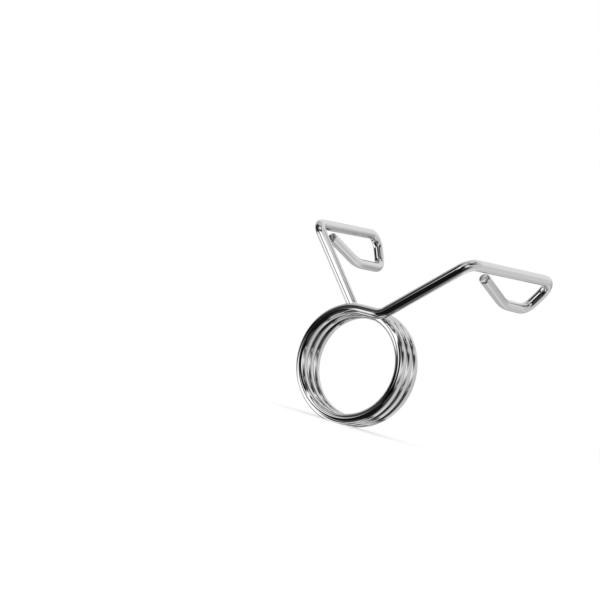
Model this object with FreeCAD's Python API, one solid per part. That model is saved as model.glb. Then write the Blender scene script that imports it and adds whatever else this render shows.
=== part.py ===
import FreeCAD, Part
import math
import os

# Spring collar for a barbell sleeve, wound and bent from one length of round spring wire.
#
# Frame: the sleeve's axis is the Y axis and the origin is the middle of the coil on that axis.
# +Z points up between the two arms. The front arm leaves the coil at its -Y end and leans to +X,
# the rear arm leaves it at its +Y end and leans to -X, and both grips reach back along +Y.
# Squeezing the grips together unwinds the coil, which opens its bore.

# Wire and coil, in mm
WIRE_D = 5.45
BORE_D = 49.25          # free bore, across the lands that bear on the sleeve
LAND_DEPTH = 0.1        # how far each turn's inner crest is burnished flat
TURN_GAP = 0.55         # air between neighbouring turns
TURNS = 3
FOOT_DEPTH = 0.5        # flat under the coil, where the collar stands

# Arms, from the coil to the grips. A root reach runs from the top of the coil to the corner of
# the root bend, an arm's length from there to the corner of the grip bend, and it leans from +Z.
FRONT_ROOT_REACH = 11.5
FRONT_ARM_LENGTH = 51.5
FRONT_ARM_LEAN_DEG = 49.6
REAR_ROOT_REACH = 15.3
REAR_ARM_LENGTH = 53.8
REAR_ARM_LEAN_DEG = 42.9
ROOT_BEND_R = 8.0
GRIP_BEND_R = 6.2
STUB_LENGTH = 2.5       # straight wire between the arm's end and the grip bend

# Grips, each a flat loop of wire that is open near the arm. The two are alike but for the tail,
# the slanting run that ends at the wire's tip.
GRIP_LENGTH = 76.2
GRIP_DEPTH = 19.8
GRIP_SPLAY_DEG = 10.1   # away from the sleeve's axis
GRIP_TILT_DEG = 17.9    # the loop's plane, turned outwards about its long run
END_LEAN = 4.1          # how far the loop's end leans back
LOOP_BEND_R = 6.9
TAIL_BEND_R = 31.0
TAIL_DEPTH_SHARE = 0.95
FRONT_TAIL_REACH_SHARE = 0.66
FRONT_TIP_REACH = 18.6  # from the grip bend's corner to the wire's tip
REAR_TAIL_REACH_SHARE = 0.53
REAR_TIP_REACH = 13.9
TIP_GAP = 0.65          # air between the tip and the long run
TIP_ROUND = 0.9

# Derived sizes
WIRE_R = WIRE_D / 2
COIL_R = BORE_D / 2 - LAND_DEPTH + WIRE_R
COIL_OUTER_R = COIL_R + WIRE_R
PITCH = WIRE_D + TURN_GAP
COIL_HALF = TURNS * PITCH / 2
LEAD_ANGLE = math.atan(PITCH / (2 * math.pi * COIL_R))
OVERRUN = WIRE_D        # how far every cutting solid runs past what it cuts

# Counts and angles
TOP_DEG = 90.0
FULL_TURN_DEG = 360.0
SPANS_PER_TURN = 4      # a pair of arcs spans each quarter of a turn
GAP_STEP_DEG = 5.0
HALF_TURN_DEG = FULL_TURN_DEG / 2


def unit(vector):
    """The vector's direction, with length one."""
    return FreeCAD.Vector(vector).normalize()


def helix_point(swept_deg):
    """A point of the coil's centre line, after so many degrees from its front end."""
    angle = math.radians(TOP_DEG + swept_deg)
    along = swept_deg / FULL_TURN_DEG * PITCH - COIL_HALF
    return FreeCAD.Vector(COIL_R * math.cos(angle), along, COIL_R * math.sin(angle))


def helix_way(swept_deg):
    """The direction in which the coil's centre line runs at that point, towards the rear."""
    angle = math.radians(TOP_DEG + swept_deg)
    flat = math.cos(LEAD_ANGLE)
    return FreeCAD.Vector(-flat * math.sin(angle), math.sin(LEAD_ANGLE), flat * math.cos(angle))


def arc_leaving(start, way, end):
    """The arc that leaves start along way and ends at end."""
    chord = end - start
    along = unit(chord)
    bulge_way = unit(way - along * way.dot(along))
    bulge = chord.Length / 2 * math.tan(way.getAngle(chord) / 2)
    return Part.Arc(start, (start + end) / 2 + bulge_way * bulge, end).toShape()


def arc_arriving(start, end, way):
    """The arc that starts at start and arrives at end along way."""
    chord = end - start
    along = unit(chord)
    bulge_way = unit(along * way.dot(along) - way)
    bulge = chord.Length / 2 * math.tan(way.getAngle(chord) / 2)
    return Part.Arc(start, (start + end) / 2 + bulge_way * bulge, end).toShape()


def biarc(start, start_way, end, end_way):
    """Two arcs that meet smoothly between two points with given directions."""
    span = end - start
    along = span.dot(start_way + end_way)
    spread = 2 * (1 - start_way.dot(end_way))
    reach = (math.sqrt(along ** 2 + spread * span.dot(span)) - along) / spread
    middle = (start + end + (start_way - end_way) * reach) / 2
    return [arc_leaving(start, start_way, middle), arc_arriving(middle, end, end_way)]


def coil_path():
    """The coil's centre line, as arcs from its front end to its rear end."""
    step = FULL_TURN_DEG / SPANS_PER_TURN
    edges = []
    for index in range(TURNS * SPANS_PER_TURN):
        here, there = index * step, (index + 1) * step
        edges += biarc(helix_point(here), helix_way(here), helix_point(there), helix_way(there))
    return edges


def setback(before, corner, after, radius):
    """How far from a corner a bend of this radius starts and ends."""
    turn = (corner - before).getAngle(after - corner)
    return radius * math.tan(turn / 2)


def bent_path(points, radii):
    """Straight runs through the points, joined at the inner ones by bends of these radii."""
    edges = []
    here = points[0]
    for before, corner, after, radius in zip(points, points[1:], points[2:], radii):
        back = setback(before, corner, after, radius)
        way_in, way_out = unit(corner - before), unit(after - corner)
        bend_start, bend_end = corner - way_in * back, corner + way_out * back
        edges.append(Part.LineSegment(here, bend_start).toShape())
        edges.append(arc_leaving(bend_start, way_in, bend_end))
        here = bend_end
    edges.append(Part.LineSegment(here, points[-1]).toShape())
    return edges


def wire_along(edges, way):
    """Round wire along a path that sets out in the direction way."""
    start = edges[0].valueAt(edges[0].FirstParameter)
    section = Part.Wire(Part.Circle(start, way, WIRE_R).toShape())
    return Part.Wire(edges).makePipeShell([section], True)


def report(name, solid, edges):
    """Print how a wire's volume compares with its section times its length."""
    length = sum(edge.Length for edge in edges)
    expected = math.pi * WIRE_R ** 2 * length
    print(f"{name}: wire {length:.2f} mm, volume {solid.Volume:.1f} of {expected:.1f} mm3, "
          f"valid {solid.isValid()}, solids {len(solid.Solids)}")


def least_gap():
    """The least air between the coil's turns, measured on points of its centre line."""
    count = round(TURNS * FULL_TURN_DEG / GAP_STEP_DEG)
    apart = round(HALF_TURN_DEG / GAP_STEP_DEG)
    points = [helix_point(index * GAP_STEP_DEG) for index in range(count + 1)]
    gaps = [(points[first] - points[second]).Length - WIRE_D
            for first in range(count + 1) for second in range(first + apart, count + 1)]
    return min(gaps)


def make_coil():
    """The turns that grip the sleeve, with their bearing lands and the flat they stand on."""
    edges = coil_path()
    solid = wire_along(edges, helix_way(0))
    report("coil before its cuts", solid, edges)
    cut_half = COIL_HALF + WIRE_R + OVERRUN
    sleeve_way = FreeCAD.Vector(0, 1, 0)
    sleeve = Part.makeCylinder(BORE_D / 2, 2 * cut_half, FreeCAD.Vector(0, -cut_half, 0), sleeve_way)
    # Its seam lies at the bottom, clear of the wire's two ends at the top.
    sleeve.rotate(FreeCAD.Vector(0, 0, 0), sleeve_way, HALF_TURN_DEG)
    foot_half = COIL_OUTER_R + OVERRUN
    floor_z = -COIL_OUTER_R + FOOT_DEPTH
    under = Part.makeBox(2 * foot_half, 2 * cut_half, OVERRUN,
                         FreeCAD.Vector(-foot_half, -cut_half, floor_z - OVERRUN))
    return solid.cut(sleeve).cut(under)


def lead_way(side):
    """The direction in which the wire leaves the coil at its front (+1) or rear (-1) end."""
    return FreeCAD.Vector(side * math.cos(LEAD_ANGLE), -side * math.sin(LEAD_ANGLE), 0)


def grip_corners(start, arm, outward, tail_reach_share, tip_reach):
    """The corners of a grip's loop, from the grip bend to the wire's tip."""
    splay, tilt = math.radians(GRIP_SPLAY_DEG), math.radians(GRIP_TILT_DEG)
    back = FreeCAD.Vector(0, 1, 0)
    long_way = back * math.cos(splay) + arm * math.sin(splay)
    inward = back * math.sin(splay) - arm * math.cos(splay)
    deep_way = inward * math.cos(tilt) + outward * math.sin(tilt)
    flat_points = [
        (GRIP_LENGTH, 0),
        (GRIP_LENGTH - END_LEAN, GRIP_DEPTH),
        (GRIP_LENGTH * tail_reach_share, GRIP_DEPTH * TAIL_DEPTH_SHARE),
        (tip_reach, WIRE_D + TIP_GAP),
    ]
    return [start] + [start + long_way * reach + deep_way * depth for reach, depth in flat_points]


def make_side(name, side, root_reach, arm_length, arm_lean_deg, tail_reach_share, tip_reach):
    """One arm and its grip, on the front (+1) or the rear (-1) end of the coil."""
    lean = math.radians(arm_lean_deg)
    arm = FreeCAD.Vector(side * math.sin(lean), 0, math.cos(lean))
    outward = FreeCAD.Vector(side * math.cos(lean), 0, -math.sin(lean))

    coil_end = FreeCAD.Vector(0, -side * COIL_HALF, COIL_R)
    root = coil_end + lead_way(side) * root_reach
    corner = root + arm * arm_length
    corners = grip_corners(corner, arm, outward, tail_reach_share, tip_reach)
    seam = corner - arm * (setback(root, corner, corners[1], GRIP_BEND_R) + STUB_LENGTH)

    arm_edges = bent_path([coil_end, root, seam], [ROOT_BEND_R])
    arm_solid = wire_along(arm_edges, lead_way(side))
    report(name + "_arm", arm_solid, arm_edges)

    grip_radii = [GRIP_BEND_R, LOOP_BEND_R, LOOP_BEND_R, TAIL_BEND_R]
    grip_edges = bent_path([seam] + corners, grip_radii)
    grip_solid = wire_along(grip_edges, arm)
    report(name + "_grip before its tip is rounded", grip_solid, grip_edges)
    tip = corners[-1]
    rims = [edge for edge in grip_solid.Edges if edge.CenterOfMass.distanceToPoint(tip) < WIRE_R]
    grip_solid = grip_solid.makeFillet(TIP_ROUND, rims)
    return {name + "_arm": arm_solid, name + "_grip": grip_solid}


def main():
    """Build every piece and write one file for each."""
    pieces = {"coil": make_coil()}
    pieces.update(make_side("front", 1, FRONT_ROOT_REACH, FRONT_ARM_LENGTH, FRONT_ARM_LEAN_DEG,
                            FRONT_TAIL_REACH_SHARE, FRONT_TIP_REACH))
    pieces.update(make_side("rear", -1, REAR_ROOT_REACH, REAR_ARM_LENGTH, REAR_ARM_LEAN_DEG,
                            REAR_TAIL_REACH_SHARE, REAR_TIP_REACH))
    os.makedirs("parts", exist_ok=True)
    for name, shape in pieces.items():
        shape = shape.Solids[0] if len(shape.Solids) == 1 else shape
        box = shape.BoundBox
        print(f"{name}: valid {shape.isValid()}, solids {len(shape.Solids)}, volume {shape.Volume:.1f}, "
              f"x {box.XMin:.1f}..{box.XMax:.1f}, y {box.YMin:.1f}..{box.YMax:.1f}, "
              f"z {box.ZMin:.1f}..{box.ZMax:.1f}")
        shape.exportStep("parts/" + name + ".step")
    print(f"least gap between the coil's turns: {least_gap():.3f} mm")


main()
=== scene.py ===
import logging
import math
from dataclasses import dataclass, field
from enum import Enum
from typing import Any, Optional, Union

import bpy
import numpy as np
from mathutils import Matrix, Vector


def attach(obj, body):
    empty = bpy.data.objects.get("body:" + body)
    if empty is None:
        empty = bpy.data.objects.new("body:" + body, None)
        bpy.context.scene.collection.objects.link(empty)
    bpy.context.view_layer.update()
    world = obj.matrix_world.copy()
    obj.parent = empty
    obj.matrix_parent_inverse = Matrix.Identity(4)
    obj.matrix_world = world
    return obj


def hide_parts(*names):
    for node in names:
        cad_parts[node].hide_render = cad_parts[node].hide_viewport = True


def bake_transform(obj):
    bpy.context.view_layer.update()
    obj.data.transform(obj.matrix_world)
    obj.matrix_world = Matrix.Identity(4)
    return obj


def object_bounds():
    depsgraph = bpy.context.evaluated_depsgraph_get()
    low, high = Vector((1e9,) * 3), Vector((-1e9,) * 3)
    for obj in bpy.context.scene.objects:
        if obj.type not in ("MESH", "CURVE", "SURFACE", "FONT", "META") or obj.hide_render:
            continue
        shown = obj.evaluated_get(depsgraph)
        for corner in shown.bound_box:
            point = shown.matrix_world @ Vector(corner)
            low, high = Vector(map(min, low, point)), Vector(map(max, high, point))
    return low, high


# Spring collar for a barbell sleeve: one length of chromed spring wire, wound into a coil at its
# middle and bent at both ends into an arm and a looped grip.
#
# The sleeve's axis is the Y axis and the origin is the middle of the coil on that axis. +Z points up
# between the two arms, the front arm leans to +X and the grips reach back along +Y. Lengths are
# millimetres until a mesh is made, and angles are degrees unless a name says otherwise.

log = logging.getLogger("collar")
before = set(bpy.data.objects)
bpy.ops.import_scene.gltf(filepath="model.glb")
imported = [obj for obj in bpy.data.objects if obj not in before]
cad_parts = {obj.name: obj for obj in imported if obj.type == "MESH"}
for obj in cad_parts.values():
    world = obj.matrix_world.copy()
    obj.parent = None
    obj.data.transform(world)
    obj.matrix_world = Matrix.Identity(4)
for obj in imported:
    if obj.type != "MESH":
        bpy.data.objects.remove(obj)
cad_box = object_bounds()

MM = 0.001              # one millimetre, in metres
FULL_TURN = 360.0
WHITE = (1.0, 1.0, 1.0, 1.0)
MIX_FIRST, MIX_SECOND, MIX_RESULT = 6, 7, 2      # colour sockets of a Mix node
Array = np.ndarray
ALONG_SLEEVE = np.array([0.0, 1.0, 0.0])
UPWARD = np.array([0.0, 0.0, 1.0])


class Side(Enum):
    """Which end of the coil a lever stands on. The value is the way it leans along X."""

    FRONT = 1
    REAR = -1


class Mark(Enum):
    """What a wire's mesh says about each of its points, for the finish to follow."""

    SECTION = "section"     # place along the wire and across its section, in millimetres
    TOOLING = "tooling"     # pressed or rolled by the bending tools
    LAND = "land"           # bears on the sleeve
    TRACK = "track"         # ran against the coiling roller
    CUT = "cut"             # sheared end


# The wire's route: straight runs, bends and turns, each worked out as whole arrays

def unit(vector: Array) -> Array:
    """The vector with length one."""
    return vector / np.linalg.norm(vector)


def turned(vector: Array, axis: Array, angles: Array) -> Array:
    """Turn one vector about an axis by many angles.

    Rodrigues' formula: v cos a + (axis x v) sin a + axis (axis . v)(1 - cos a).

    Args:
        vector: The vector to turn.
        axis: The axis, of length one.
        angles: The angles, in radians.

    Returns:
        One row for each angle.
    """
    cosines, sines = np.cos(angles)[:, None], np.sin(angles)[:, None]
    return vector * cosines + np.cross(axis, vector) * sines + axis * (axis @ vector) * (1 - cosines)


def angle_between(first: Array, second: Array) -> float:
    """The angle between two directions of length one, in radians."""
    return math.acos(float(np.clip(first @ second, -1.0, 1.0)))


@dataclass
class Route:
    """Points of a wire's centre line, with what each ring of wire needs to know.

    The three directions at a point are square to each other: the way along the wire, and the two across
    it that a ring's angle is measured in, with second = way x first.
    """

    points: Array
    ways: Array
    firsts: Array
    bent: Array         # 0 on a straight run, 1 where a bend is tightest
    inside: Array       # direction towards the bend's centre, and zero on a straight run

    @property
    def seconds(self) -> Array:
        """The second direction across the wire, at each point."""
        return np.cross(self.ways, self.firsts)

    def joined(self, other: "Route") -> "Route":
        """Put another route behind this one.

        Args:
            other: A route that starts where this one ends.

        Returns:
            Both as one, with the shared point once.
        """
        names = ("points", "ways", "firsts", "bent", "inside")
        pairs = ((getattr(self, name), getattr(other, name)[1:]) for name in names)
        return Route(*(np.concatenate(pair) for pair in pairs))

    def distances(self) -> Array:
        """How far each point lies along the route."""
        steps = np.linalg.norm(np.diff(self.points, axis=0), axis=1)
        return np.concatenate([[0.0], np.cumsum(steps)])


@dataclass(frozen=True)
class Spacing:
    """How far apart the rings of wire stand."""

    straight: float = 1.6
    bend: float = 2.5           # degrees
    turn: float = 1.8           # degrees
    fewest_steps: int = 2
    seam_share: float = 0.02    # share of a step to the last ring but one, so that a seam has no kink

    def shares(self, length: float, step: float) -> Array:
        """Where the rings stand on a length: evenly, with one more close to each end.

        Args:
            length: The length, in millimetres or degrees.
            step: About how far apart the rings stand, in the same unit.

        Returns:
            Shares of the length, from 0 to 1.
        """
        count = max(self.fewest_steps, math.ceil(length / step))
        close = self.seam_share / count
        inner = np.linspace(0.0, 1.0, count + 1)[1:-1]
        return np.concatenate([[0.0, close], inner, [1.0 - close, 1.0]])


@dataclass(frozen=True)
class BendShape:
    """A bend in its own plane, with curvature that swells and fades as wire's does round a pin."""

    angles: Array       # turned so far, in radians
    along: Array        # gone along the direction of entry
    inward: Array       # gone towards the inside
    bent: Array         # curvature, as a share of the most
    reach: float        # from the bend's start to its corner

    @classmethod
    def eased(cls, radius: float, turn: float, shares: Array, fade_share: float,
              steps: int) -> "BendShape":
        """Work out a bend.

        Curvature rises over the first fade_share of the way by the smooth step 3x^2 - 2x^3, stays, and
        falls likewise at the end. The angle is the running sum of the curvature, and the place that of
        (cos angle, sin angle). The whole is scaled so that its middle lies as far from the corner as a
        plain arc's, which is radius * (1 / cos(turn / 2) - 1).

        Args:
            radius: Radius of the plain arc.
            turn: The bend's whole turn, in radians.
            shares: Shares of the bend's way at which it is wanted.
            fade_share: Share of the way over which the curvature rises, and falls.
            steps: How finely it is summed, an even number.

        Returns:
            The bend.
        """
        way = np.linspace(0.0, 1.0, steps + 1)
        rise = (np.minimum(way, 1.0 - way) / fade_share).clip(0.0, 1.0)
        bent = rise * rise * (3 - 2 * rise)
        angles = cls.running_sum(bent)
        angles *= turn / angles[-1]
        along, inward = cls.running_sum(np.cos(angles)), cls.running_sum(np.sin(angles))
        reach = inward[-1] / math.sin(turn)
        middle = steps // 2
        apex = math.hypot(along[middle] - reach, inward[middle])
        scale = radius * (1 / math.cos(turn / 2) - 1) / apex
        summed = (angles, along * scale, inward * scale, bent)
        return cls(*(np.interp(shares, way, values) for values in summed), reach * scale)

    @staticmethod
    def running_sum(values: Array) -> Array:
        """Sum of the values up to each one, by the trapezoid rule, from zero."""
        return np.concatenate([[0.0], np.cumsum((values[1:] + values[:-1]) / 2)])


@dataclass
class Bender:
    """Carries the wire's frame forward through straight runs and bends, as a bending head does."""

    place: Array
    way: Array
    first: Array
    spacing: Spacing = field(default_factory=Spacing)
    fade_share: float = 0.3     # of a bend's way, over which its curvature swells, and fades
    steps: int = 600            # in which a bend is summed

    def straight(self, length: float) -> Route:
        """Go straight on: place + way * distance.

        Args:
            length: How far to go.

        Returns:
            The route of the run.
        """
        shares = self.spacing.shares(length, self.spacing.straight)
        count = len(shares)
        points = self.place + self.way * length * shares[:, None]
        self.place = points[-1]
        return Route(points, np.tile(self.way, (count, 1)), np.tile(self.first, (count, 1)),
                     np.zeros(count), np.zeros((count, 3)))

    def shape(self, radius: float, new_way: Array) -> BendShape:
        """Work out the bend to a new direction.

        Args:
            radius: Radius of the plain arc.
            new_way: Direction in which the wire leaves the bend.

        Returns:
            The bend's shape in its plane.
        """
        turn = angle_between(self.way, new_way)
        shares = self.spacing.shares(math.degrees(turn), self.spacing.bend)
        return BendShape.eased(radius, turn, shares, self.fade_share, self.steps)

    def bend(self, shape: BendShape, new_way: Array) -> Route:
        """Follow a bend to a new direction.

        The directions across the wire turn about the bend's axis, so the wire gains no twist.

        Args:
            shape: The bend's shape in its plane.
            new_way: Direction in which the wire leaves the bend.

        Returns:
            The route through the bend.
        """
        axis = unit(np.cross(self.way, new_way))
        inward = np.cross(axis, self.way)
        points = self.place + self.way * shape.along[:, None] + inward * shape.inward[:, None]
        ways, firsts, inside = (turned(at_start, axis, shape.angles)
                                for at_start in (self.way, self.first, inward))
        route = Route(points, ways, firsts, shape.bent, inside)
        self.place, self.way, self.first = route.points[-1], route.ways[-1], route.firsts[-1]
        return route

    def through(self, corners: list[Array], radii: list[float]) -> Route:
        """Run straight to each of a list of corners, with a bend at each.

        A bend starts its reach before its corner and ends its reach after it.

        Args:
            corners: The corners, and last the route's end.
            radii: One radius for each corner but the last.

        Returns:
            The whole route.
        """
        route: Optional[Route] = None
        for corner, after, radius in zip(corners, corners[1:], radii):
            way_out = unit(after - corner)
            shape = self.shape(radius, way_out)
            run = self.straight(float(np.linalg.norm(corner - self.place)) - shape.reach)
            route = run if route is None else route.joined(run)
            route = route.joined(self.bend(shape, way_out))
        return route.joined(self.straight(float(np.linalg.norm(corners[-1] - self.place))))


# The wire itself: a round section carried along a route

@dataclass(frozen=True)
class Wire:
    """Round spring wire, and what forming it does to its section."""

    diameter: float = 5.45
    around: int = 64                    # points round the section
    flattening_share: float = 0.022     # share of the radius that a bend takes off, in its plane
    pin_mark_depth: float = 0.05        # where the bending pin pressed the inside of a bend
    pin_mark_spread: float = 0.06       # of 1 - cos of the angle from the inside
    roll_mark_spread: float = 0.12      # the same from the outside, where the roller ran
    roll_mark_share: float = 0.6        # strength beside the pin's mark
    tip_round: float = 0.9              # rounding of the sheared tip
    tip_crown: float = 0.15             # how far the cut face's middle stands out
    tip_smooth_share: float = 0.6       # of the rounding, from outside in, that isn't rough
    rim_steps: int = 8
    face_steps: int = 6

    @property
    def radius(self) -> float:
        """Half the diameter."""
        return self.diameter / 2

    def angles(self) -> Array:
        """Even angles round the section, in radians."""
        return np.linspace(0.0, 2 * np.pi, self.around, endpoint=False)

    def tip_profile(self) -> tuple[Array, Array]:
        """Work out the profile of the sheared end, from the rim inwards.

        The rim is a quarter round: radius R - c + c cos t, distance back c - (c - crown) sin t. The face
        is a shallow dome: radius (R - c) s, distance back crown * s^2, for s from 1 to 0.

        Returns:
            Each ring's radius and its distance back from the very tip.
        """
        flat = self.radius - self.tip_round
        turn = np.linspace(0.0, np.pi / 2, self.rim_steps + 1)
        shares = np.linspace(1.0, 0.0, self.face_steps + 1)[1:-1]
        radii = np.concatenate([flat + self.tip_round * np.cos(turn), flat * shares])
        rim_back = self.tip_round - (self.tip_round - self.tip_crown) * np.sin(turn)
        return radii, np.concatenate([rim_back, self.tip_crown * shares ** 2])


@dataclass
class Rings:
    """Rings of points along a wire, and what marks them."""

    points: Array           # ring, angle, xyz
    section: Array          # ring, angle, place in the wire's own length and section
    tooling: Array          # ring, angle
    cut: Array              # ring, angle

    def followed_by(self, other: "Rings") -> "Rings":
        """These rings and then the other's."""
        names = ("points", "section", "tooling", "cut")
        return Rings(*(np.concatenate([getattr(self, name), getattr(other, name)]) for name in names))


def wire_rings(wire: Wire, route: Route, angles: Array, starts_at: float = 0.0, hand: int = 1) -> Rings:
    """Carry the wire's section along a route.

    A point is centre + r (cos a * first + sin a * second). In a bend r shrinks by the flattening times
    cos^2 of the angle from the bend's plane, and by the bending pin's mark at the inside, whose strength
    is exp(-(1 - cos) / spread) of the angle from the inside.

    Args:
        wire: The wire.
        route: Its centre line.
        angles: Angles round the section, in radians.
        starts_at: Place of the route's start along the whole wire.
        hand: 1 if the route runs the way the whole wire is measured, -1 if against it.

    Returns:
        The rings.
    """
    cosines, sines = np.cos(angles)[None, :, None], np.sin(angles)[None, :, None]
    across = route.firsts[:, None] * cosines + route.seconds[:, None] * sines
    facing = np.einsum("rac,rc->ra", across, route.inside).clip(-1.0, 1.0)
    bent = route.bent[:, None]
    pressed = bent * np.exp((facing - 1) / wire.pin_mark_spread)
    rolled = bent * np.exp((-facing - 1) / wire.roll_mark_spread) * wire.roll_mark_share
    flattened = 1 - wire.flattening_share * bent * facing ** 2
    radii = wire.radius * flattened - wire.pin_mark_depth * pressed
    along = np.broadcast_to((starts_at + hand * route.distances())[:, None], radii.shape)
    section = np.stack([along, radii * np.cos(angles), hand * radii * np.sin(angles)], axis=-1)
    return Rings(route.points[:, None] + across * radii[..., None], section,
                 np.clip(pressed + rolled, 0.0, 1.0), np.zeros(radii.shape))


def tip_rings(wire: Wire, route: Route, angles: Array, starts_at: float, hand: int) -> Rings:
    """Make the sheared end beyond the route's last point.

    A point is tip - way * back + r (cos a * first + sin a * second), with r and back from the tip's own
    profile.

    Args:
        wire: The wire.
        route: The route that the tip stands on, one tip rounding short of the very tip.
        angles: Angles round the section, in radians.
        starts_at: Place of the route's start along the whole wire.
        hand: 1 if the route runs the way the whole wire is measured, -1 if against it.

    Returns:
        The rings, without the first, which is the route's last.
    """
    radii, back = (values[1:, None] for values in wire.tip_profile())
    way, first, second = route.ways[-1], route.firsts[-1], route.seconds[-1]
    cosines, sines = np.cos(angles)[None, :], np.sin(angles)[None, :]
    ahead = wire.tip_round - back
    points = (route.points[-1] + way * ahead[..., None]
              + first * (radii * cosines)[..., None] + second * (radii * sines)[..., None])
    shape = (len(radii), len(angles))
    along = np.broadcast_to(starts_at + hand * (route.distances()[-1] + ahead), shape)
    section = np.stack([along, radii * cosines, hand * radii * sines], axis=-1)
    on_face = radii < wire.radius - wire.tip_round * wire.tip_smooth_share
    return Rings(points, section, np.zeros(shape), np.broadcast_to(on_face, shape).astype(float))


@dataclass
class Piece:
    """A closed tube of rings, ready to be made into an object."""

    name: str
    rings: Rings
    has_tip: bool = False
    marks: dict[Mark, Array] = field(default_factory=dict)

    def surface(self) -> tuple[Array, list[Array], Array]:
        """Join the rings into a closed surface.

        Four neighbours of the grid of rings make a face. Each end is closed by a fan about its middle.
        An end that meets the next piece of wire is flat, so its rim is sharp.

        Returns:
            The vertices, the faces in groups, and the rings whose edges stay sharp.
        """
        points = self.rings.points
        count, around = points.shape[:2]
        index = np.arange(count * around).reshape(count, around)
        here, there = index[:-1], index[1:]
        corners = [here, np.roll(here, -1, 1), np.roll(there, -1, 1), there]
        quads = np.stack(corners, axis=-1).reshape(-1, 4)
        middles = np.stack([points[0].mean(0), points[-1].mean(0)])
        start_fan = np.stack([np.roll(index[0], -1), index[0], np.full(around, index.size)], axis=-1)
        end_fan = np.stack([index[-1], np.roll(index[-1], -1), np.full(around, index.size + 1)], axis=-1)
        sharp = index[:1] if self.has_tip else index[[0, -1]]
        return np.concatenate([points.reshape(-1, 3), middles]), [quads, start_fan, end_fan], sharp

    def with_ends(self, values: Array) -> Array:
        """Values of the rings' points, followed by one for the middle of each end."""
        ends = np.stack([values[0].mean(0), values[-1].mean(0)])
        return np.concatenate([values.reshape((-1,) + values.shape[2:]), ends])

    def build(self) -> bpy.types.Object:
        """Make the object at the origin, smooth and with its marks.

        Returns:
            The object.
        """
        vertices, faces, sharp = self.surface()
        mesh = bpy.data.meshes.new(self.name)
        all_faces = [face for group in faces for face in group.tolist()]
        mesh.from_pydata((vertices * MM).tolist(), [], all_faces)
        mesh.polygons.foreach_set("use_smooth", np.ones(len(mesh.polygons), bool))
        edge_ends = np.empty(len(mesh.edges) * 2, np.int32)
        mesh.edges.foreach_get("vertices", edge_ends)
        mesh.edges.foreach_set("use_edge_sharp", np.isin(edge_ends.reshape(-1, 2), sharp).all(1))
        marks = {Mark.SECTION: self.rings.section, Mark.TOOLING: self.rings.tooling,
                 Mark.CUT: self.rings.cut, **self.marks}
        for mark, values in marks.items():
            is_vector = values.ndim == 3
            layer = mesh.attributes.new(mark.value, "FLOAT_VECTOR" if is_vector else "FLOAT", "POINT")
            flat = self.with_ends(values).astype(np.float32).ravel()
            layer.data.foreach_set("vector" if is_vector else "value", flat)
        mesh.update()
        piece = bpy.data.objects.new(self.name, mesh)
        bpy.context.scene.collection.objects.link(piece)
        return piece


# The collar's two kinds of sub-assembly

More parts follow.
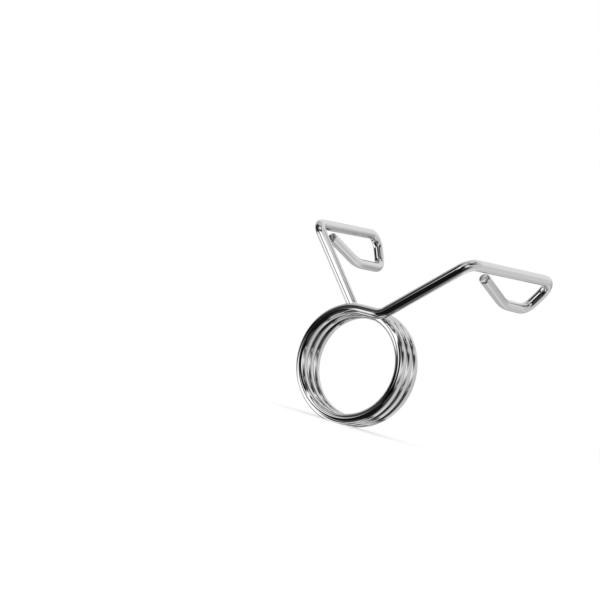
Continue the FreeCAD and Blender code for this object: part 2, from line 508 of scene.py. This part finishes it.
@dataclass(frozen=True)
class SpringCoil:
    """The turns that grip the sleeve."""

    wire: Wire
    bore: float = 49.25             # across the lands
    land_depth: float = 0.1         # how far each turn's inner crest is burnished flat
    turn_gap: float = 0.55
    turns: int = 3
    land_steps: int = 6             # faces across a land
    track_half_width: float = 0.55  # of the line that the coiling roller leaves on the outer crest
    twist_start: float = 2.9        # a distance from the middle, along the sleeve
    twist_end: float = 6.3          # a farther distance, along the sleeve
    spacing: Spacing = field(default_factory=Spacing)

    @property
    def radius(self) -> float:
        """Radius of the centre line."""
        return self.bore / 2 - self.land_depth + self.wire.radius

    @property
    def pitch(self) -> float:
        """How far the coil advances in one turn."""
        return self.wire.diameter + self.turn_gap

    @property
    def half_length(self) -> float:
        """From the middle to either end of the centre line."""
        return self.turns * self.pitch / 2

    @property
    def lead_angle(self) -> float:
        """Slope of the turns, in radians."""
        return math.atan(self.pitch / (2 * math.pi * self.radius))

    @property
    def wire_length(self) -> float:
        """Length of wire in the turns."""
        return self.turns * math.hypot(2 * math.pi * self.radius, self.pitch)

    def route(self, start: float, end: float) -> Route:
        """Follow the helix between two swept angles.

        At a swept angle s the point is (R cos(90 + s), pitch * s / 360 - half length, R sin(90 + s)),
        and the first direction across the wire points away from the sleeve's axis.

        Args:
            start: Where it starts, in degrees from the coil's front end.
            end: Where it ends.

        Returns:
            The route.
        """
        swept = start + (end - start) * self.spacing.shares(end - start, self.spacing.turn)
        angles = np.radians(FULL_TURN / 4 + swept)
        zeros = np.zeros_like(angles)
        outward = np.stack([np.cos(angles), zeros, np.sin(angles)], axis=-1)
        sideways = np.stack([-np.sin(angles), zeros, np.cos(angles)], axis=-1)
        heights = swept / FULL_TURN * self.pitch - self.half_length
        points = outward * self.radius + ALONG_SLEEVE * heights[:, None]
        ways = sideways * math.cos(self.lead_angle) + ALONG_SLEEVE * math.sin(self.lead_angle)
        return Route(points, ways, outward, zeros, np.zeros_like(points))

    def ring_angles(self) -> Array:
        """Divide the section evenly across the land, and evenly round the rest.

        Returns:
            The angles, in radians.
        """
        half = math.acos(1 - self.land_depth / self.wire.radius)
        across_land = np.linspace(np.pi - half, np.pi + half, self.land_steps + 1)
        rest = np.linspace(np.pi + half, 3 * np.pi - half, self.wire.around - self.land_steps + 1)[1:-1]
        return np.concatenate([across_land, rest])

    def half(self, side: Side) -> Piece:
        """Work out the front or the rear half of the turns.

        The rings are those of round wire. What lies inside the bore is moved out to it, which makes the
        land, and what lies below the floor is moved up to it, which makes the coil's flat foot.

        Args:
            side: Which half.

        Returns:
            The piece.
        """
        sweep = FULL_TURN * self.turns / 2
        start = 0.0 if side is Side.FRONT else sweep
        starts_at = self.wire_length * start / (2 * sweep)
        angles = self.ring_angles()
        rings = wire_rings(self.wire, self.route(start, start + sweep), angles, starts_at)
        reach = np.hypot(rings.points[..., 0], rings.points[..., 2])
        out = np.maximum(1.0, self.bore / 2 / reach)
        rings.points[..., 0] *= out
        rings.points[..., 2] *= out
        rings.points[..., 2] = rings.points[..., 2].clip(cad_box[0].z / MM)
        off_crest = np.abs(self.wire.radius * np.sin(angles))
        track = np.where(np.cos(angles) > 0, np.exp(-(off_crest / self.track_half_width) ** 2), 0.0)
        marks = {Mark.LAND: (out > 1.0).astype(float), Mark.TRACK: np.broadcast_to(track, reach.shape)}
        return Piece(f"coil_{side.name.lower()}_turns", rings, marks=marks)

    def build(self, finish: bpy.types.Material) -> None:
        """Make both halves, in place of the coil's own mesh.

        Args:
            finish: The wire's material.
        """
        for side in Side:
            piece = self.half(side).build()
            piece.data.materials.append(finish)
            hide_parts("coil")
            near = (0.0, -side.value * self.twist_start * MM, 0.0)
            far = (0.0, -side.value * self.twist_end * MM, 0.0)
            if side is Side.FRONT:
                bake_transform(piece)
            else:
                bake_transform(piece)


@dataclass(frozen=True)
class Grip:
    """The flat loop that the hand squeezes, open near the arm."""

    tail_reach_share: float         # where the tail starts to bend towards the tip
    tip_reach: float                # from the arm's corner to the tip
    length: float = 76.2
    depth: float = 19.8
    splay: float = 10.1             # away from the sleeve's axis
    tilt: float = 17.9              # of the loop's plane, outwards about its long run
    end_lean: float = 4.1           # how far the loop's end leans back
    bend_radius: float = 6.2        # at the arm
    loop_radius: float = 6.9
    tail_radius: float = 31.0
    tail_depth_share: float = 0.95  # of the loop's depth, left at that bend
    tip_gap: float = 0.65           # air between the tip and the long run

    def corners(self, start: Array, arm: Array, outward: Array, wire: Wire) -> list[Array]:
        """Place the loop's corners: start + long way * reach + deep way * depth.

        Args:
            start: The corner at the arm's end.
            arm: The arm's direction.
            outward: The direction away from the other arm, square to it.
            wire: The wire.

        Returns:
            The corners after the one at the arm, and last the wire's tip.
        """
        splay, tilt = math.radians(self.splay), math.radians(self.tilt)
        long_way = ALONG_SLEEVE * math.cos(splay) + arm * math.sin(splay)
        inward = ALONG_SLEEVE * math.sin(splay) - arm * math.cos(splay)
        deep_way = inward * math.cos(tilt) + outward * math.sin(tilt)
        flat = [(self.length, 0.0),
                (self.length - self.end_lean, self.depth),
                (self.length * self.tail_reach_share, self.depth * self.tail_depth_share),
                (self.tip_reach, wire.diameter + self.tip_gap)]
        return [start + long_way * reach + deep_way * depth for reach, depth in flat]

    def radii(self) -> list[float]:
        """Radius of each bend, from the arm to the tail."""
        return [self.bend_radius, self.loop_radius, self.loop_radius, self.tail_radius]


@dataclass(frozen=True)
class Lever:
    """An arm and its grip, on one end of the coil."""

    side: Side
    wire: Wire
    coil: SpringCoil
    root_reach: float               # from the top of the coil to the corner of the root bend
    arm_length: float               # from there to the corner at the grip
    lean: float                     # from upright
    grip: Grip
    root_radius: float = 8.0

    def route(self) -> Route:
        """Follow the wire from the coil's end to one tip rounding short of the tip.

        Returns:
            The wire's centre line.
        """
        side, slope = self.side.value, self.coil.lead_angle
        lean = math.radians(self.lean)
        arm = np.array([side * math.sin(lean), 0.0, math.cos(lean)])
        outward = np.array([side * math.cos(lean), 0.0, -math.sin(lean)])
        lead = np.array([side * math.cos(slope), -side * math.sin(slope), 0.0])
        start = np.array([0.0, -side * self.coil.half_length, self.coil.radius])
        root = start + lead * self.root_reach
        elbow = root + arm * self.arm_length
        corners = [root, elbow] + self.grip.corners(elbow, arm, outward, self.wire)
        corners[-1] = corners[-1] - unit(corners[-1] - corners[-2]) * self.wire.tip_round
        bender = Bender(start, lead, UPWARD)
        return bender.through(corners, [self.root_radius] + self.grip.radii())

    def piece(self) -> Piece:
        """Work out the wire of the arm and the grip in one run, with its sheared tip.

        Returns:
            The piece.
        """
        at_front = self.side is Side.FRONT
        starts_at = 0.0 if at_front else self.coil.wire_length
        hand = -1 if at_front else 1
        route, angles = self.route(), self.wire.angles()
        rings = wire_rings(self.wire, route, angles, starts_at, hand)
        rings = rings.followed_by(tip_rings(self.wire, route, angles, starts_at, hand))
        return Piece(f"{self.side.name.lower()}_lever_wire", rings, has_tip=True)

    def build(self, finish: bpy.types.Material) -> None:
        """Make the lever's wire and fix it to its body.

        Args:
            finish: The wire's material.
        """
        name = self.side.name.lower()
        piece = self.piece().build()
        piece.data.materials.append(finish)
        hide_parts(f"{name}_arm", f"{name}_grip")
        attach(piece, f"{name}_lever")
        log.info("%s: %d faces, rides on %s_lever", piece.name, len(piece.data.polygons), name)


# Shader graphs, written as sums on values

Operand = Union["Value", float]


@dataclass(frozen=True)
class Value:
    """A number that varies over a surface. Sums on it add Math nodes."""

    graph: "Graph"
    socket: bpy.types.NodeSocket

    def math(self, operation: str, *operands: Operand) -> "Value":
        """Add a Math node.

        Args:
            operation: The node's operation.
            operands: Its inputs, in order.

        Returns:
            The node's output.
        """
        inputs = dict(enumerate(operands))
        return self.graph.value(self.graph.node("ShaderNodeMath", {"operation": operation}, inputs))

    def __add__(self, other: Operand) -> "Value":
        """Sum."""
        return self.math("ADD", self, other)

    def __radd__(self, other: Operand) -> "Value":
        """Sum, with the number first."""
        return self.math("ADD", other, self)

    def __sub__(self, other: Operand) -> "Value":
        """Difference."""
        return self.math("SUBTRACT", self, other)

    def __rsub__(self, other: Operand) -> "Value":
        """Difference, with the number first."""
        return self.math("SUBTRACT", other, self)

    def __mul__(self, other: Operand) -> "Value":
        """Product."""
        return self.math("MULTIPLY", self, other)

    def __rmul__(self, other: Operand) -> "Value":
        """Product, with the number first."""
        return self.math("MULTIPLY", other, self)

    def __abs__(self) -> "Value":
        """Distance from zero."""
        return self.math("ABSOLUTE", self)

    def eased(self, low: float, high: float) -> "Value":
        """Ease from 0 to 1 by the smooth step.

        Args:
            low: It is 0 up to here.
            high: It is 1 from here on. If this is the lower one, it falls from 1 to 0 instead.

        Returns:
            The eased value.
        """
        settings = {"interpolation_type": "SMOOTHSTEP"}
        inputs: dict[Union[int, str], Any] = {"Value": self}
        if low <= high:
            inputs.update({"From Min": low, "From Max": high})
        else:
            inputs.update({"From Min": high, "From Max": low, "To Min": 1.0, "To Max": 0.0})
        return self.graph.value(self.graph.node("ShaderNodeMapRange", settings, inputs), "Result")


@dataclass(frozen=True)
class Grain:
    """Noise that is fixed to the wire."""

    scale: tuple[float, float, float]       # waves for each millimetre, along the wire and across it
    depth: float                            # of its relief, in millimetres
    detail: float = 2.0
    roughness: float = 0.5


@dataclass
class Graph:
    """A node tree that is filled node by node."""

    tree: bpy.types.NodeTree

    def node(self, kind: str, settings: Optional[dict[str, Any]] = None,
             inputs: Optional[dict[Union[int, str], Any]] = None) -> bpy.types.Node:
        """Add a node.

        Args:
            kind: The node's type.
            settings: Its own settings, set first.
            inputs: Values or links of its sockets, by name or number.

        Returns:
            The node.
        """
        made = self.tree.nodes.new(kind)
        for name, setting in (settings or {}).items():
            setattr(made, name, setting)
        for name, wanted in (inputs or {}).items():
            if isinstance(wanted, Value):
                wanted = wanted.socket
            if isinstance(wanted, bpy.types.NodeSocket):
                self.tree.links.new(wanted, made.inputs[name])
            else:
                made.inputs[name].default_value = wanted
        return made

    def value(self, node: bpy.types.Node, output: Union[int, str] = 0) -> Value:
        """A node's output as a value."""
        return Value(self, node.outputs[output])

    def mark(self, mark: Mark) -> Value:
        """A mark of the piece as a value."""
        return self.value(self.node("ShaderNodeAttribute", {"attribute_name": mark.value}), "Fac")

    def place(self, mark: Mark) -> bpy.types.NodeSocket:
        """A mark of the piece as a vector."""
        return self.node("ShaderNodeAttribute", {"attribute_name": mark.value}).outputs["Vector"]

    def noise(self, place: bpy.types.NodeSocket, grain: Grain) -> Value:
        """Add smooth noise between 0 and 1.

        Args:
            place: The place on the wire, in millimetres.
            grain: The noise's waves.

        Returns:
            The noise.
        """
        stretched = self.node("ShaderNodeMapping", {"vector_type": "POINT"},
                              {"Vector": place, "Scale": grain.scale}).outputs["Vector"]
        inputs = {"Vector": stretched, "Scale": 1.0,
                  "Detail": grain.detail, "Roughness": grain.roughness}
        return self.value(self.node("ShaderNodeTexNoise", None, inputs), "Fac")


@dataclass(frozen=True)
class ChromePlate:
    """Bright chrome over drawn steel wire.

    A range is the noise at which a mark starts to tell and that at which it tells fully. A wear is the
    share of the worn tint in a mark.
    """

    tint: tuple[float, float, float, float] = (0.660, 0.660, 0.660, 1.0)
    worn_tint: tuple[float, float, float, float] = (0.520, 0.518, 0.514, 1.0)
    die_lines: Grain = Grain((0.03, 4.5, 4.5), depth=0.0006, detail=3.0, roughness=0.6)
    fine_lines: Grain = Grain((0.09, 16.0, 16.0), depth=0.00015)
    ripple: Grain = Grain((0.11, 0.22, 0.22), depth=0.006, detail=1.0)
    scuffs: Grain = Grain((2.4, 2.4, 2.4), depth=0.006, detail=5.0, roughness=0.7)
    cut_lines: Grain = Grain((1.0, 9.0, 0.8), depth=0.012, detail=3.0, roughness=0.6)
    scuff_range: tuple[float, float] = (0.42, 0.68)
    land_line_range: tuple[float, float] = (0.45, 0.62)
    rough_line_range: tuple[float, float] = (0.40, 0.75)
    worn_line_range: tuple[float, float] = (0.5, 0.8)
    roughness: float = 0.04
    line_roughness: float = 0.03
    scuff_roughness: float = 0.22
    land_roughness: float = 0.10
    track_roughness: float = 0.06
    cut_roughness: float = 0.20
    scuff_wear: float = 0.5
    land_wear: float = 0.55
    track_wear: float = 0.12
    cut_wear: float = 0.35
    line_wear: float = 0.10

    def material(self) -> bpy.types.Material:
        """Make the finish.

        Returns:
            The material.
        """
        made = bpy.data.materials.new("chrome_plate")
        made.use_nodes = True
        graph = Graph(made.node_tree)
        shader = made.node_tree.nodes["Principled BSDF"]
        place = graph.place(Mark.SECTION)
        tooling, land, track, cut = (graph.mark(mark) for mark in
                                     (Mark.TOOLING, Mark.LAND, Mark.TRACK, Mark.CUT))
        grains = (self.die_lines, self.fine_lines, self.ripple, self.scuffs, self.cut_lines)
        die_lines, fine_lines, ripple, scuffs, cut_lines = (
            graph.noise(place, grain) for grain in grains)
        scuffed = tooling * scuffs.eased(*self.scuff_range)
        land_lines = land * fine_lines.eased(*self.land_line_range)

        height = (die_lines * self.die_lines.depth + fine_lines * self.fine_lines.depth
                  + ripple * self.ripple.depth + scuffed * -self.scuffs.depth
                  + cut * cut_lines * self.cut_lines.depth)
        roughness = (self.roughness + die_lines.eased(*self.rough_line_range) * self.line_roughness
                     + scuffed * self.scuff_roughness + land * self.land_roughness
                     + track * self.track_roughness + cut * self.cut_roughness)
        worn = (scuffed * self.scuff_wear + land_lines * self.land_wear + track * self.track_wear
                + cut * self.cut_wear + die_lines.eased(*self.worn_line_range) * self.line_wear)
        colour = graph.node("ShaderNodeMix", {"data_type": "RGBA"},
                            {"Factor": worn.math("MINIMUM", worn, 1.0),
                             MIX_FIRST: self.tint, MIX_SECOND: self.worn_tint})
        bump = graph.node("ShaderNodeBump", None, {"Strength": 1.0, "Distance": MM, "Height": height})
        links = made.node_tree.links
        links.new(colour.outputs[MIX_RESULT], shader.inputs["Base Color"])
        links.new(roughness.socket, shader.inputs["Roughness"])
        links.new(bump.outputs["Normal"], shader.inputs["Normal"])
        shader.inputs["Metallic"].default_value = 1.0
        return made


# The studio

@dataclass(frozen=True)
class Card:
    """A soft-edged card that stands round the collar and is seen only in its chrome.

    Azimuths run from +Y towards +X, and all angles are degrees.
    """

    azimuth: float
    elevation: float
    half_width: float
    half_height: float
    tone: float                 # 0 is black, 1 is white paper, more is a lit softbox
    edge: float = 5.0           # half the width of the soft edge
    rise: float = 0.0           # degrees that the card climbs for each degree of azimuth

    def mask(self, graph: Graph, direction: bpy.types.NodeSocket, elevation: Value) -> Value:
        """Work out where the card is seen.

        The azimuth from the card's middle is atan2(d . side, d . ahead) for a direction d.

        Args:
            graph: The world's graph.
            direction: The direction of view.
            elevation: Its elevation in degrees.

        Returns:
            1 on the card and 0 elsewhere.
        """
        turn = math.radians(self.azimuth)
        ahead, side = (math.sin(turn), math.cos(turn), 0.0), (math.cos(turn), -math.sin(turn), 0.0)
        dots = (graph.node("ShaderNodeVectorMath", {"operation": "DOT_PRODUCT"}, {0: direction, 1: axis})
                for axis in (side, ahead))
        over, along = (graph.value(dot, "Value") for dot in dots)
        away = over.math("ARCTAN2", over, along) * math.degrees(1.0)
        off = abs(elevation - away * self.rise - self.elevation)
        across = abs(away).eased(self.half_width + self.edge, self.half_width - self.edge)
        return across * off.eased(self.half_height + self.edge, self.half_height - self.edge)


@dataclass(frozen=True)
class Studio:
    """A white floor in a white room, with cards for the chrome to mirror."""

    cards: tuple[Card, ...] = (
        Card(azimuth=246.1, elevation=60.1, half_width=178.9, half_height=21.6, tone=0.75, edge=5.1,
             rise=0.23),
        Card(azimuth=330.8, elevation=-72.0, half_width=113.2, half_height=43.7, tone=0.04, edge=3.1,
             rise=-0.41),
        Card(azimuth=142.8, elevation=-42.0, half_width=71.3, half_height=32.2, tone=0.07, edge=3.2,
             rise=-0.01),
        Card(azimuth=98.2, elevation=27.3, half_width=49.4, half_height=34.6, tone=0.03, edge=5.7,
             rise=-0.03),
        Card(azimuth=197.6, elevation=-2.8, half_width=168.3, half_height=5.4, tone=1.43, edge=13.1,
             rise=-0.19),
        Card(azimuth=66.9, elevation=-2.5, half_width=32.2, half_height=41.4, tone=0.77, edge=14.9,
             rise=-0.71),
        Card(azimuth=233.4, elevation=-20.5, half_width=78.4, half_height=19.8, tone=1.60, edge=10.7,
             rise=-0.83),
        Card(azimuth=247.6, elevation=19.9, half_width=33.5, half_height=28.1, tone=0.06, edge=3.1,
             rise=-0.32),
        Card(azimuth=187.1, elevation=57.5, half_width=27.0, half_height=24.7, tone=0.00, edge=3.0,
             rise=-0.80),
        Card(azimuth=173.7, elevation=3.8, half_width=18.1, half_height=29.4, tone=0.01, edge=3.6,
             rise=-0.83),
        Card(azimuth=172.1, elevation=-34.6, half_width=42.2, half_height=17.4, tone=0.01, edge=3.1,
             rise=0.52),
        Card(azimuth=208.6, elevation=0.6, half_width=69.4, half_height=5.4, tone=0.00, edge=3.9,
             rise=0.17),
        Card(azimuth=145.7, elevation=15.6, half_width=10.5, half_height=6.4, tone=1.57, edge=7.0,
             rise=-0.89),
        Card(azimuth=308.5, elevation=19.4, half_width=5.2, half_height=42.6, tone=1.04, edge=4.4,
             rise=-0.71),
        Card(azimuth=343.4, elevation=-37.1, half_width=79.5, half_height=28.1, tone=0.65, edge=3.0,
             rise=-1.21),
        Card(azimuth=342.3, elevation=-0.5, half_width=43.7, half_height=20.4, tone=0.50, edge=15.0,
             rise=-0.23),
        Card(azimuth=195.1, elevation=47.6, half_width=20.6, half_height=12.1, tone=1.07, edge=4.2,
             rise=-0.70),
        Card(azimuth=74.4, elevation=50.1, half_width=43.1, half_height=9.5, tone=0.76, edge=3.3,
             rise=0.03),
        Card(azimuth=106.9, elevation=54.1, half_width=58.4, half_height=7.5, tone=0.07, edge=4.0,
             rise=-0.21),
    )
    paper: float = 1.0              # strength of the plain white room
    floor_glow_share: float = 0.55  # of its own white that the camera sees, which thins the shadow
    floor_size: float = 16.0        # metres
    lamp_size: float = 0.9          # metres
    lamp_height: float = 1.0        # metres
    lamp_power: float = 1.5         # watts

    def build_world(self) -> None:
        """Make a white room, in which only reflections see the cards."""
        world = bpy.data.worlds.new("white_room")
        world.use_nodes = True
        bpy.context.scene.world = world
        graph = Graph(world.node_tree)
        direction = graph.node("ShaderNodeTexCoord").outputs["Generated"]
        split = graph.node("ShaderNodeSeparateXYZ", None, {0: direction})
        upward = graph.value(split, "Z")
        elevation = upward.math("ARCSINE", upward) * math.degrees(1.0)
        tone: Operand = self.paper
        for card in self.cards:
            mask = card.mask(graph, direction, elevation)
            tone = tone * (1 - mask) + mask * card.tone
        mirrored = graph.value(graph.node("ShaderNodeLightPath"), "Is Glossy Ray")
        strength = (tone - self.paper) * mirrored + self.paper
        background = world.node_tree.nodes["Background"]
        background.inputs["Color"].default_value = WHITE
        world.node_tree.links.new(strength.socket, background.inputs["Strength"])
        log.info("world: %d cards", len(self.cards))

    def build_floor(self) -> None:
        """Make the floor that the coil stands on. The chrome sees the room below it instead."""
        level, half = cad_box[0].z, self.floor_size / 2
        corners = [(x * half, y * half, level) for x, y in ((-1, -1), (1, -1), (1, 1), (-1, 1))]
        mesh = bpy.data.meshes.new("floor")
        mesh.from_pydata(corners, [], [(0, 1, 2, 3)])
        floor = bpy.data.objects.new("floor", mesh)
        bpy.context.scene.collection.objects.link(floor)
        paper = bpy.data.materials.new("white_paper")
        paper.use_nodes = True
        graph = Graph(paper.node_tree)
        shader = paper.node_tree.nodes["Principled BSDF"]
        shader.inputs["Base Color"].default_value = WHITE
        shader.inputs["Roughness"].default_value = 1.0
        shader.inputs["Specular IOR Level"].default_value = 0.0
        glow = graph.node("ShaderNodeEmission", None, {"Strength": self.paper}).outputs[0]
        seen = graph.value(graph.node("ShaderNodeLightPath"), "Is Camera Ray")
        mixed = graph.node("ShaderNodeMixShader", None,
                           {0: seen * self.floor_glow_share, 1: shader.outputs[0], 2: glow})
        surface = paper.node_tree.nodes["Material Output"].inputs["Surface"]
        paper.node_tree.links.new(mixed.outputs[0], surface)
        mesh.materials.append(paper)
        floor.visible_glossy = False
        log.info("floor at %.2f mm", level / MM)

    def build_lamp(self) -> None:
        """Hang one large soft lamp overhead, for the shadow on the floor."""
        data = bpy.data.lights.new("overhead_softbox", "AREA")
        data.size, data.energy = self.lamp_size, self.lamp_power
        lamp = bpy.data.objects.new("overhead_softbox", data)
        lamp.location = (0.0, 0.0, self.lamp_height)
        lamp.visible_glossy = False
        bpy.context.scene.collection.objects.link(lamp)

    def build(self) -> None:
        """Make the room, the floor and the lamp."""
        self.build_world()
        self.build_floor()
        self.build_lamp()


@dataclass(frozen=True)
class Camera:
    """The photograph's point of view, as fitted to the collar's outline."""

    place: tuple[float, float, float] = (332.36, -555.41, -2.78)
    forward: tuple[float, float, float] = (-0.55951, 0.82780, 0.04113)
    up: tuple[float, float, float] = (-0.20624, -0.18712, 0.96044)
    lens: float = 78.01
    sensor: float = 36.0
    nearest: float = 0.01           # metres
    farthest: float = 100.0         # metres

    def build(self) -> None:
        """Make the camera: its columns are right = forward x up, up and -forward."""
        data = bpy.data.cameras.new("photograph")
        data.lens, data.sensor_width = self.lens, self.sensor
        data.clip_start, data.clip_end = self.nearest, self.farthest
        camera = bpy.data.objects.new("photograph", data)
        forward = Vector(self.forward).normalized()
        right = forward.cross(Vector(self.up)).normalized()
        columns = Matrix((right, right.cross(forward), -forward)).transposed()
        camera.matrix_world = Matrix.Translation(Vector(self.place) * MM) @ columns.to_4x4()
        bpy.context.scene.collection.objects.link(camera)
        bpy.context.scene.camera = camera


def main() -> None:
    """Build the studio and then the collar, piece by piece."""
    logging.basicConfig(level=logging.INFO, format="%(name)s: %(message)s")
    bpy.context.scene.view_settings.view_transform = "Standard"
    Studio().build()
    Camera().build()
    wire = Wire()
    coil = SpringCoil(wire)
    chrome = ChromePlate().material()
    coil.build(chrome)
    Lever(Side.FRONT, wire, coil, root_reach=11.5, arm_length=51.5, lean=49.6,
          grip=Grip(tail_reach_share=0.66, tip_reach=18.6)).build(chrome)
    Lever(Side.REAR, wire, coil, root_reach=15.3, arm_length=53.8, lean=42.9,
          grip=Grip(tail_reach_share=0.53, tip_reach=13.9)).build(chrome)


if __name__ == "__main__":
    main()
